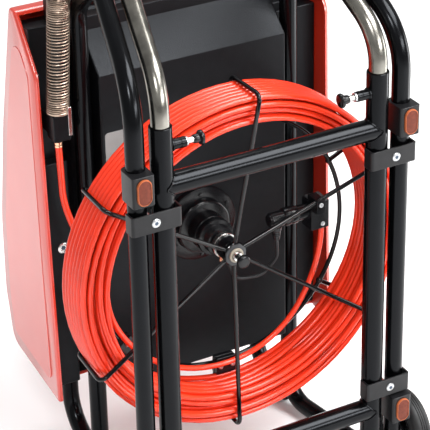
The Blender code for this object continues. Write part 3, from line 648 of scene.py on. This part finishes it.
def build_wheels():
    """Profiles run outwards from the object's middle plane, from inner to outer face."""
    inner, outer = WHEEL_X
    at = (0, WHEEL_Y, WHEEL_R)
    spacer = [(AXLE_R, inner - 5.3), (9, inner - 5.3), (9, inner - GAP), (AXLE_R, inner - GAP)]
    cap = [
        (0, outer - 1), (AXLE_R, outer - 1), (AXLE_R, outer + 0.3), (9.5, outer + 0.3),
        (9.5, outer + 2.2), (8.6, outer + 3.4), (6, outer + 4), (0, outer + 4),
    ]
    axle = Form()
    for _, sign in SIDES:
        axle.lathe(spacer, at, (sign, 0, 0), 28).lathe(cap, at, (sign, 0, 0), 28)
    axle.lathe([(0, -outer), (AXLE_R, -outer), (AXLE_R, outer), (0, outer)], at, (1, 0, 0), 28)
    axle.make("axle_rod", ZINC, "frame", ["axle"])

    bore, ribs = AXLE_R + 0.3, 6
    disc = [
        (bore, inner), (14, inner), (14.5, inner + 1), (15, inner + 9), (28, inner + 9),
        (31, inner + 2), (38, inner + 2), (38, outer - 2), (36.5, outer - 1.2), (34.5, outer - 1.2),
        (33.5, outer - 2.5), (31, outer - 3), (29, outer - 8), (15, outer - 9), (14, outer - 0.8),
        (12.5, outer), (bore, outer),
    ]
    wall_out = [
        (38.2, outer - 1), (40, outer - 1), (40.6, outer - 1.8), (42.2, outer - 1.8), (42.8, outer - 1),
        (45, outer - 1), (45.6, outer - 1.8), (47, outer - 1.8), (47.6, outer - 1.2),
        (50.5, outer - 2.2), (53.3, outer - 4.2), (55, outer - 6.4), (WHEEL_R, outer - 9),
    ]
    wall_in = [(r, inner + outer - x) for r, x in wall_out]
    tread = []
    for k in range(3):
        x = outer - 12 - 3.4 * k
        tread += [(WHEEL_R, x + 0.9), (55, x + 0.5), (55, x - 0.5), (WHEEL_R, x - 0.9)]
    for side, sign in SIDES:
        aim = (sign, 0, 0)
        hub = Form().lathe(disc, at, aim, 48)
        near, far = sign * (outer - 9.5), sign * (outer - 3.2)
        for k in range(ribs):
            turn = Matrix.Rotation(2 * math.pi * k / ribs, 4, "X")
            turn = Matrix.Translation(at) @ turn @ Matrix.Translation([-c for c in at])
            rib = Form().box((near, WHEEL_Y + 13, WHEEL_R - 2.5), (far, WHEEL_Y + 33, WHEEL_R + 2.5))
            hub.add([turn @ p for p in rib.points], rib.faces)
        hub.make(f"wheel_disc_{side}", KNOB, f"wheel_{side}", [f"wheel_hub_{side}"])
        tyre = Form().lathe(wall_out + tread + wall_in[::-1], at, aim, 64)
        tyre.make(f"wheel_band_{side}", RUBBER, f"wheel_{side}", [f"wheel_tyre_{side}"], sharp=40)


# ---- case ----
def build_back_field(side_view):
    """A slightly raised field on the back, which follows the shell's curve."""
    front_y, low_z, high_z, half_width, proud, depth = 316, 205, 664, 184, 0.9, 1.5
    curve = spaced([(y, z, 0) for y, z in side_view], 10)
    outside, inside = [], []
    for before, here, after in zip(curve, curve[1:], curve[2:]):
        if here.x > front_y and low_z < here.y < high_z:
            along = (after - before).normalized()
            outward = Vector((along.y, -along.x))
            outside.append(here.xy + outward * proud)
            inside.append(here.xy - outward * depth)
    form = Form().prism(outside + inside[::-1], "X", -half_width, half_width)
    form.make("shell_panel_back", SHELL, "frame", bevel=0.85, segments=3)


def build_shell():
    """Outlines are in y and z, seen from the side."""
    corners = [
        (216, 138), (374, 160), (391, 240), (387, 362), (355, 520), (303, 713), (285, 711), (229, 640),
        (222, 338),
    ]
    side_view = flat(corners, [5, 26, 60, 300, 300, 9, 9, 30, 300])
    shell = Form().prism(side_view, "X", -CASE_X, CASE_X).make("red_housing", SHELL, None)
    round_off(shell, 4.0, 4, 50)
    bake(shell)
    hollow = [
        (100, 108), (262, 108), (262, 150.8), (366, 165.2), (382, 240), (380.5, 362), (349, 518),
        (298, 706), (100, 706),
    ]
    hollow = flat(hollow, [0, 0, 6, 24, 56, 300, 300, 5, 0])
    cutter = Form().prism(hollow, "X", SHELL_WALL - CASE_X, CASE_X - SHELL_WALL)
    cut(shell, cutter.make("shell_cutter", SHELL, None))
    adopt(shell, "frame", "red_shell")
    panel = [(238, 163), (364, 181), (371, 244), (368, 358), (338, 512), (291, 688), (250, 632), (244, 338)]
    panel = flat(panel, [12, 18, 50, 200, 200, 20, 24, 200])
    for side, sign in SIDES:
        form = Form().prism(panel, "X", *sorted((sign * (CASE_X - 1), sign * (CASE_X + 0.9))))
        form.make(f"shell_panel_{side}", SHELL, "frame", bevel=0.85, segments=3)
    build_back_field(side_view)


def build_case():
    x = CASE_X - SHELL_WALL - GAP
    wing_view = [
        (257, 152), (320, 160.3), (352, 165.5), (366, 362), (336, 512), (291, WING_TOP_Z),
        (257, WING_TOP_Z),
    ]
    wing = Form().prism(wing_view, "X", -x, x).make("case_wings", CASE, None)
    # room for the camera holder's leg
    cut(wing, Form().box((BOX_X + 0.5, 240, 640), (x + 20, 284, 760)).make("wing_cutter", CASE, None))
    round_off(wing, 1.6, 3)
    adopt(wing, "frame", "inner_case")
    box_view = [
        (CASE_FRONT_Y, 142), (CASE_FRONT_Y, 628), (280, 699), (290, 699), (300, 640), (300, 178),
        (256, 150), (237, 142),
    ]
    box = Form().prism(flat(box_view, [0, 2, 0, 0, 0, 0, 0, 0], 2), "X", -BOX_X, BOX_X)
    box.make("case_box", CASE, "frame", bevel=5.5, segments=5)
    ledge = Form().prism([(-x, 240), (-180, 240), (-172, 262), (-x, 262)], "Z", 150, 502)
    ledge.make("case_ledge", CASE, "frame", bevel=1.8)
    label = flat([(-137, 472), (-75, 472), (-75, 544), (-137, 544)], [5, 5, 5, 5], 6)
    plate = Form().prism(label, "Y", CASE_FRONT_Y - 0.9, CASE_FRONT_Y + 0.2)
    plate.make("case_plate", LABEL, "frame", ["case_label"], bevel=0.3, segments=2)
    spot = (-194, 240, 372)
    head = [
        (0, -2.2), (4.2, -2.2), (5.0, -3.6), (6.6, -3.8), (8.2, -2.8), (8.6, -1.2), (8.6, 0.2),
        (0, 0.2),
    ]
    screw = Form().lathe(head, spot, steps=36)
    # dark hexagon just proud of the head: painted shade standing in for its recessed socket
    screw.lathe([(0, -2.6), (3.4, -2.6), (3.4, -2.1), (0, -2.1)], spot, steps=6, slot=1)
    screw.make("case_screw", [STEEL, SOCKET_SHADE], "frame")


def build_probe():
    """Spring and camera head along a slanted axis, then clip, cable lead and holder."""
    aim = (SPRING_HEAD - SPRING_FOOT).normalized()
    length = (SPRING_HEAD - SPRING_FOOT).length
    across = aim.cross(Vector((0, 1, 0))).normalized()
    over = aim.cross(across)

    def above(profile):
        return [(radius, length + up) for radius, up in profile]

    # points on each turn, pitch where it is close wound, and what the open middle adds
    wire, each, close, extra = 1.0, 18, 2.62, 1.9
    path, along, angle = [], 2.0, 0.0
    while along < length - 1.5:
        # close wound near both ends, open between
        share = min(1.0, max(0.0, (along / length - 0.04) / 0.74))
        pitch = close + extra * max(0.0, math.sin(math.pi * share)) ** 0.8
        turn = across * math.cos(angle) + over * math.sin(angle)
        path.append(SPRING_FOOT + aim * along + turn * (SPRING_R - wire))
        along += pitch / each
        angle += 2 * math.pi / each
    spring = Form().tube(path, wire, 6)
    spring.lathe([(0, 0.3), (15, 0.3), (15.3, 1.2), (15.3, 2.6), (0, 2.6)], SPRING_FOOT, aim, 36)
    spring.lathe(above([(0, -2.6), (15.3, -2.6), (15.3, -0.3), (0, -0.3)]), SPRING_FOOT, aim, 36)
    spring.lathe([(0, 1), (9.5, 1), (9.5, length - 1), (0, length - 1)], SPRING_FOOT, aim, 24, slot=1)
    spring.make("probe_spring", [SPRING, LEAD], "frame", ["camera_spring"], sharp=50)

    barrel = [
        (0, 0), (12.6, 0), (13, 0.5), (13, 6), (15.4, 7.2), (16, 8), (16, 20), (15.4, 20.6),
        (15.4, 22.4), (16, 23), (16, 51), (15.4, 54), (14, 56), (11, 56), (10.4, 55), (10.4, 50),
        (0, 50),
    ]
    lens = [(0, 49), (10.2, 49), (10.2, 51.5), (8.5, 53.6), (5, 54.9), (0, 55.4)]
    lamp, lamps = [(0, 55.6), (0.9, 55.6), (0.9, 56.15), (0, 56.15)], 8
    head = Form().lathe(above(barrel), SPRING_FOOT, aim, 48)
    head.lathe(above(lens), SPRING_FOOT, aim, 36, slot=1)
    for k in range(lamps):
        a = 2 * math.pi * k / lamps
        spot = SPRING_FOOT + (across * math.cos(a) + over * math.sin(a)) * 12.4
        head.lathe(above(lamp), spot, aim, 10, slot=2)
    head.make("probe_head", [STEEL, GLASS, CREAM], "frame", ["camera_head"])

    x, y, z = SPRING_FOOT
    block = Form().box((x - 12, y - 12, z - 38), (x + 12, y + 12, z - GAP))
    block.box((x - 10, y + 8, z - 34), (x + 10, MOUNT_BACK_Y, z - 8))
    block.make("clip_body", CASE, "frame", ["clip_block"], bevel=1.6)
    clip = Form().box((x + 8.6, y - 13.5, z - 31), (x + 13.6, y - 12.2, z + 10))
    clip.box((x + 12.2, y - 12.8, z - 31), (x + 13.6, y + 4, z - 4))
    clip.make("clip_spring", STEEL, "frame", bevel=0.5, segments=2)
    rings = [
        (0, -50), (5.0, -50), (5.6, -49.2), (5.6, -46.6), (5.0, -46), (5.0, -45), (5.6, -44.4),
        (5.6, -42), (4.6, -41), (4.6, -38.2), (0, -38.2),
    ]
    ferrule = Form().lathe([(radius, z + up) for radius, up in rings], (x - 2, y, 0), (0, 0, 1), 28)
    ferrule.make("ferrule_turned", COPPER, "frame", ["cable_ferrule"])
    top = Vector((x - 2, y, z - 50.2))
    corners = [top, top + Vector((2, 0, -84)), top + Vector((18, -18, -150)), top + Vector((34, -55, -215))]
    path = spaced(rounded(corners, [0, 120, 100, 0], 12), 12)
    run = Form().tube(path, LEAD_IN_R, 20).make("lead_run", CABLE, "frame", ["cable_lead"])

    hx, hy, hz = SPRING_HEAD
    rest = Form().box((hx - 24, hy - 22, hz - 16), (hx + 13, 274, hz - 2)).make("probe_rest", CASE, None)
    bore_r = SPRING_R + GAP
    bore = Form().lathe(above([(0, -40), (bore_r, -40), (bore_r, 30), (0, 30)]), SPRING_FOOT, aim, 40)
    leg = Form().box((hx + 1, 260, WING_TOP_Z + GAP), (hx + 37, 274, hz - 5)).make("rest_leg", CASE, None)
    cut(rest, leg, "UNION")
    cut(rest, bore.make("rest_cutter", CASE, None))
    round_off(rest, 1.4, 3)
    adopt(rest, "frame", "camera_holder")


# ---- reel ----
def wire_y(radius):
    """Middle of the cage's slanted front wires at this radius."""
    return CAGE_FRONT_Y + (HUB[1] - CAGE_FRONT_Y) * (CAGE_R - radius) / (CAGE_R - 13)


def coil_limits(angle, size):
    """Inner and outer radius that the middle of a winding keeps to at this angle."""

    def near(degrees, width):
        away = (angle - math.radians(degrees) + math.pi) % (2 * math.pi) - math.pi
        return np.exp(-((away / width) ** 2))

    thin = np.maximum(0.0, np.cos(angle - math.radians(THIN_ANGLE)))
    # room for the two clamps, and loops that hang out between the wires
    inner = COIL_IN + 16.0 * thin + 9.0 * near(JAWS[0][1], 0.26) + 8.0 * near(JAWS[1][1], 0.26)
    outer = COIL_OUT + 2.5 + 5.5 * near(236, 0.3) + 5.0 * near(285, 0.26) + 2.5 * near(176, 0.3) - size
    return inner + size, outer


def wind_cable():
    """One push cable wound turn by turn; the turns lie close at one side and hang loose at the other."""
    rng = np.random.default_rng(11)
    stations, size = 72, CABLE_R + 0.05
    # the share of a turn before the cable moves to its next place, and of the move itself
    stay, move = 0.78, 0.22
    # the last turn stops short, under the reel
    short_by = 0.33
    steps, smooth_steps, smoothing, pushing, lead_in = 170, 150, 0.22, 0.45, 9

    # places of the turns in the section, in four layers from the inside out
    columns = [np.linspace(0, 1, 8), (np.arange(7) + 0.5) / 7] * 2
    slots = []
    for layer, row in enumerate(columns):
        slots += [(layer / 3, v) for v in (row if layer % 2 else row[::-1])]
    slots = np.array(slots)
    turns = len(slots)
    t = np.arange(turns * stations + 1 - round(short_by * stations)) / stations
    index = np.minimum(t.astype(int), turns - 1)
    after = np.minimum(index + 1, turns - 1)
    share = np.clip((t - index - stay) / move, 0, 1)
    share = (share * share * (3 - 2 * share))[:, None]
    uv = slots[index] * (1 - share) + slots[after] * share
    angle = math.radians(TAIL_ANGLE) - 2 * math.pi * t
    loose = 1 - np.maximum(0, np.cos(angle - math.radians(THIN_ANGLE)))
    # slow waves of several lengths, each with a phase that drifts
    wander = np.zeros((len(t), 2))
    for waves in (0.6, 1.0, 1.7, 2.6):
        for axis, reach in ((0, 3.4), (1, 2.6)):
            drift = np.cumsum(rng.normal(0, 0.35, turns + 2))
            phase = np.interp(t, np.arange(turns + 2), drift) + rng.uniform(0, 6.28)
            wander[:, axis] += reach / waves**0.7 * np.sin(waves * 2 * math.pi * t + phase)
    inner, outer = coil_limits(angle, size)

    def front_limit(radius):
        return wire_y(radius) + WIRE_R + 0.6 + size

    def fit(q):
        """Keeps the windings, as radius and y, inside the cage's wires."""
        q[:, 0] = np.clip(q[:, 0], inner, outer)
        q[:, 1] = np.clip(q[:, 1], front_limit(q[:, 0]), COIL_BACK_Y - size)
        return q

    radius = inner + (outer - inner) * uv[:, 0]
    front = front_limit(radius)
    q = np.stack([radius, front + (COIL_BACK_Y - size - front) * uv[:, 1]], 1)
    ease = np.clip((1 - uv[:, 0]) * 1.6, 0.12, 1)
    q = fit(q + wander * (loose * ease)[:, None])
    # the cable comes in from the tail on the inside of the cage
    q[0] = TAIL_END
    blend = np.linspace(0, 1, lead_in)[:, None]
    for step in range(steps):
        if step < smooth_steps:
            q[1:-1] += smoothing * (q[:-2] + q[2:] - 2 * q[1:-1])
        # at each station, turns that overlap push each other apart
        for station in range(stations):
            ids = np.arange(station, len(q), stations)
            here = q[ids]
            apart = here[:, None] - here[None]
            gap = np.sqrt((apart**2).sum(2)) + 1e-9
            push = np.clip(2 * size - gap, 0, None)
            np.fill_diagonal(push, 0)
            q[ids] += (apart / gap[..., None] * push[..., None] * pushing).sum(1)
        q = fit(q)
        q[0] = TAIL_END
        q[:lead_in] = q[0] * (1 - blend) + q[lead_in - 1] * blend
    return [reel_point(math.degrees(a), r, y) for a, (r, y) in zip(angle, q)]


def tail_path():
    """The cable's run from the connector round to the windings, by angle, radius and y."""
    route = [
        (1.55, 141, 111), (-20, 143, 111), (-38, 150, 112), (-58, 165, 115), (-78, 176, 117),
        (-98, 181, 118), (-120, 184, 118), (-144, 186.5, 118), (-165, 190, 114),
        (TAIL_ANGLE, *TAIL_END),
    ]
    return [reel_point(*p) for p in smooth_path(route, 6)]


def build_cage():
    cage = Form()
    cage.tube([reel_point(3 * k, HOOP_R, CAGE_BACK_Y) for k in range(120)], WIRE_R, 12, closed=True)
    weld = [(0, -5.2), (2.4, -4.6), (4.1, -2.4), (4.5, 0), (4.1, 2.4), (2.4, 4.6), (0, 5.2)]
    for k in range(WIRES):
        angle = WIRE_ANGLE + 360 / WIRES * k
        corners = [reel_point(angle, 11, HUB[1] - 0.5), reel_point(angle, CAGE_R, CAGE_FRONT_Y)]
        corners += [reel_point(angle, CAGE_BACK_R, CAGE_BACK_Y), reel_point(angle, HOOP_R - 4, CAGE_BACK_Y)]
        cage.tube(rounded(corners, [0, 9, 9, 0], 8), WIRE_R, 14)
        # weld where the wire lies on the hoop
        aim = (math.cos(math.radians(angle)), 0, math.sin(math.radians(angle)))
        cage.lathe(weld, reel_point(angle, HOOP_R, CAGE_BACK_Y), aim, 12)
    boss = [(HUB_BORE_R, 103), (16, 103), (17, 104), (17, 109), (16, 110), (HUB_BORE_R, 110)]
    cage.lathe(boss, HUB_AXIS, steps=48)
    cage.make("reel_wires", WIRE, "reel", ["reel_cage"], sharp=40)
    washer = Form().prism(polygon(0, HUB[2], 16.6, 8, 0.5), "Y", 100.6, 103.1)
    bush = [(7.2, 100.8), (7.2, 98.6), (7.8, 98.0), (9.8, 98.0), (10.6, 98.8), (10.6, 100.8)]
    washer.lathe(bush, HUB_AXIS, steps=40, slot=1)
    washer.make("hub_washer", [GREY, CREAM], "reel", bevel=0.5, segments=2)


def build_jaws():
    """Two cable clamps, each made at angle 0 and turned about the reel's axis."""
    outside, split = HOOP_R + 10, (122.4, 129.2, 129.8, 136.9)
    screw = [(0, -3.6), (2.4, -3.6), (3.5, -2.8), (3.7, -1.6), (3.7, 0.4), (0, 0.4)]
    for name, angle, inside in JAWS:
        turn = Matrix.Translation((0, 0, HUB[2])) @ Matrix.Rotation(-math.radians(angle), 4, "Y")
        jaw = Form()
        jaw.box((inside, split[0], -15), (outside, split[1], 15))
        jaw.box((inside, split[2], -15), (outside, split[3], 15))
        jaw.box((inside + 1, split[1] - 0.4, -13.4), (outside - 1, split[2] + 0.4, 13.4))
        for place in (-9.5, 9.5):
            jaw.lathe(screw, ((inside + outside) / 2, split[0], place), steps=20, slot=1)
        jaw.make(
            f"cable_jaw_{name}", [KNOB, ZINC], "reel", [f"cable_clamp_{name}"], bevel=0.9, segments=2,
            matrix=turn,
        )


def build_connector():
    """Connector at the cable's inner end, with its gland and signal lead."""
    y, ridges, pitch = 113, 6, 3.1
    profile = [(0, 58), (8.4, 58), (9, 58.6), (9.4, 60)]
    for k in range(ridges):
        s = 61 + pitch * k
        profile += [(11, s), (11, s + 1.9), (10.1, s + 2.2), (10.1, s + 2.9)]
    profile += [
        (11, 80), (12.4, 81), (13, 82), (13, 88), (12.4, 88.5), (12.4, 90), (13, 90.5), (13, 99),
        (12.4, 100.5), (11, 102), (11, 119), (0, 119),
    ]
    barrel = Form().lathe(profile, (0, y, 402), (1, 0, 0), 40)
    barrel.box((118, 98, 377), (146, 124, 419))
    barrel.box((115, 78, 412), (128, 104, 433))
    barrel.box((121, 97, 419), (143, 122, 422), 1)
    screw = [(0, -1.6), (2.2, -1.6), (3.3, -1.0), (3.5, 0), (3.5, 0.4), (0, 0.4)]
    for spot in ((121, 77.8, 426), (136, 97.8, 384)):
        barrel.lathe(screw, spot, steps=20, slot=2)
    barrel.make("connector_shell", [KNOB, GREY, ZINC], "reel", ["connector_body"], bevel=1.2)
    gland = [
        (0, 0), (6.4, 0), (7, 0.6), (7, 5.4), (6.4, 6), (6, 7), (6, 9), (5.2, 9.5), (5.8, 10.4),
        (5.8, 12), (5, 12.5), (5.5, 13.4), (5.2, 16), (4.2, 20), (0, 20),
    ]
    boot = Form().lathe(gland, (70.5, y, 390.7), (0, 0, -1), 32)
    boot.make("connector_boot", KNOB, "reel", ["connector_gland"])
    lead = [(70.5, y, 371), (72, y, 342), (48, 116, 318), (10, 122, 320), (0, 130, 353.2)]
    path = smooth_path(rounded(lead, [0, 20, 24, 16, 0], 3), 3)
    run = Form().tube(path, SIGNAL_R, 14).make("signal_run", LEAD, "reel", ["signal_lead"])


def build_hub():
    """Profiles run backwards along the reel's axis, by y."""
    sleeve = [
        (HUB_BORE_R, 110.3), (15.4, 110.3), (16, 111), (16, 126), (15.2, 126.6), (15.2, 128),
        (16, 128.6), (16, 142), (20.4, 143.4), (21, 144.4), (21, 155), (21.6, 156), (26.4, 157),
        (27, 158), (27, 166), (26, 166.8), (26, 169), (27, 169.8), (27, 188.4), (26.4, 189),
        (HUB_BORE_R, 189),
    ]
    band = [(16, 130.5), (17.8, 130.5), (18.2, 131), (18.2, 138), (17.8, 138.5), (16, 138.5)]
    plug = [(0, 14), (4.6, 14), (5, 14.6), (5, 20), (4.2, 22), (0, 22)]
    hub = Form().lathe(sleeve, HUB_AXIS, steps=56).lathe(band, HUB_AXIS, steps=48, slot=1)
    hub.lathe(plug, (0, 130, HUB[2]), (-0.35, -0.1, -1), 20, slot=2)
    hub.make("hub_rings", [KNOB, STEEL, COPPER], "reel", ["hub_sleeve"])
    flange = [
        (HUB_BORE_R, 189.3), (37, 189.3), (38.4, 189.8), (40, 191.4), (40, 199), (40.8, 200.4),
        (53, 201), (55.2, 201.8), (56, 203.4), (56, FLANGE_BACK_Y), (HUB_BORE_R, FLANGE_BACK_Y),
    ]
    bolt, bolts = [(0, -2.2), (2.0, -2.2), (2.9, -1.5), (3.1, 0), (0, 0)], 6
    collar = Form().lathe(flange, HUB_AXIS, steps=64)
    for k in range(bolts):
        collar.lathe(bolt, reel_point(30 + 360 / bolts * k, 47, 201.2), steps=16)
    collar.make("hub_collar", KNOB, "frame", ["hub_flange"])
    shaft = [
        (0, FLANGE_BACK_Y), (SHAFT_R, FLANGE_BACK_Y), (SHAFT_R, 95.6), (6.4, 94.2), (4.0, 94.2),
        (3.9, 95), (3.9, 130), (0, 130),
    ]
    Form().lathe(shaft, HUB_AXIS, steps=32).make("shaft_turned", STEEL, "frame", ["reel_shaft"])
    knob = [
        (0, 76), (5, 76.1), (7.6, 76.6), (9.1, 77.8), (9.5, 79.4), (9.5, 82), (8.8, 83.4), (6.4, 84.4),
        (3.9, 85.4), (3.5, 86.4), (3.5, 122), (0, 122),
    ]
    Form().lathe(knob, HUB_AXIS, steps=40).make("release_button", KNOB, "release_knob", ["release_knob"])


def build_reel():
    cable = Form().tube(tail_path()[:-1] + wind_cable(), CABLE_R, 10)
    cable.make("push_cable", CABLE, "reel", ["cable_coil", "cable_tail"], sharp=60)
    build_cage()
    build_jaws()
    build_connector()
    build_hub()


build_stage()
build_frame()
build_clamps_and_pads()
build_plungers()
build_handle()
build_wheels()
build_shell()
build_case()
build_probe()
build_reel()
